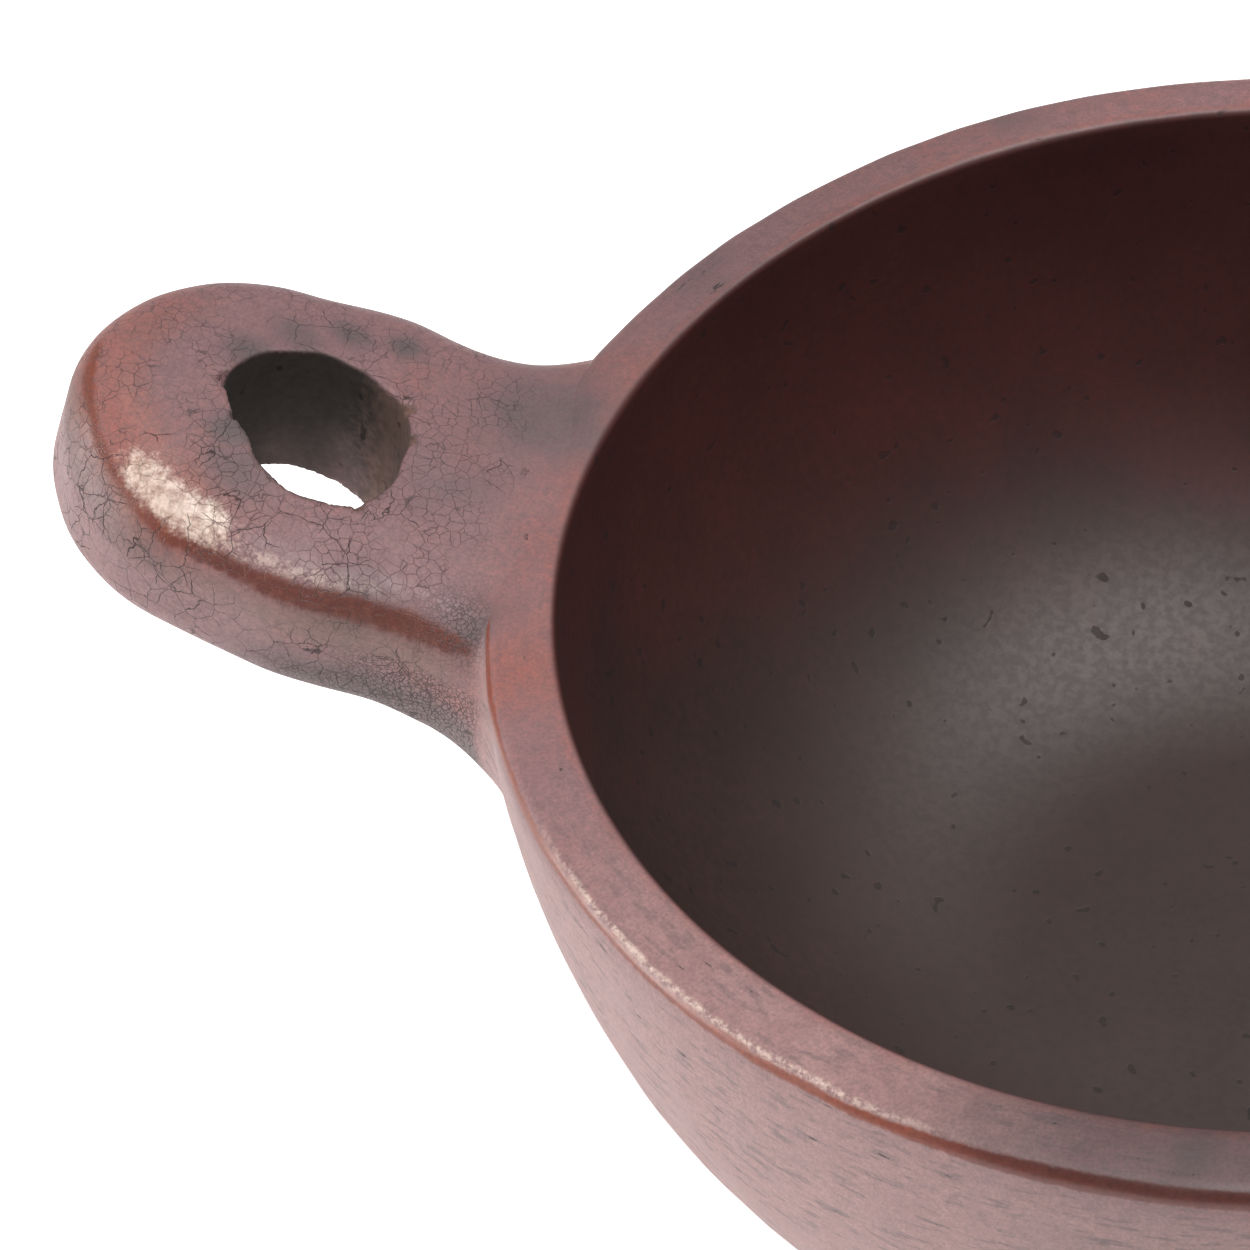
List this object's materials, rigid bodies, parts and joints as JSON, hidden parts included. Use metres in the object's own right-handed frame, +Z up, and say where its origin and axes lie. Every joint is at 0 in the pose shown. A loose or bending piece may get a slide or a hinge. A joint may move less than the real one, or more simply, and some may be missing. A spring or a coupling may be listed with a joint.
{
  "type": "oil lamp bowl",
  "caption": "Round open bowl in fired clay with a flat rim and a thick rising lug handle pierced for a finger, as used for a diya oil lamp.",
  "frame": {"origin": "centre of the flat base, on the bowl's axis", "axes": "+Z up along the bowl's axis; the lug points along -X and rises as it goes out; Y runs across the lug"},
  "size_m": [0.2031, 0.1554, 0.0858],
  "materials": {
    "bowl_clay": "burnished slip, satin and dark inside, dusty and scratched outside",
    "lug_clay": "burnished slip with fine crackle, worn shiny on its edge",
    "luting_clay": "rough, matt and closely crackled"
  },
  "bodies": {
    "root": {"bowl": "bowl_clay", "lug": "lug_clay", "luting": "luting_clay"}
  },
  "joints": []
}
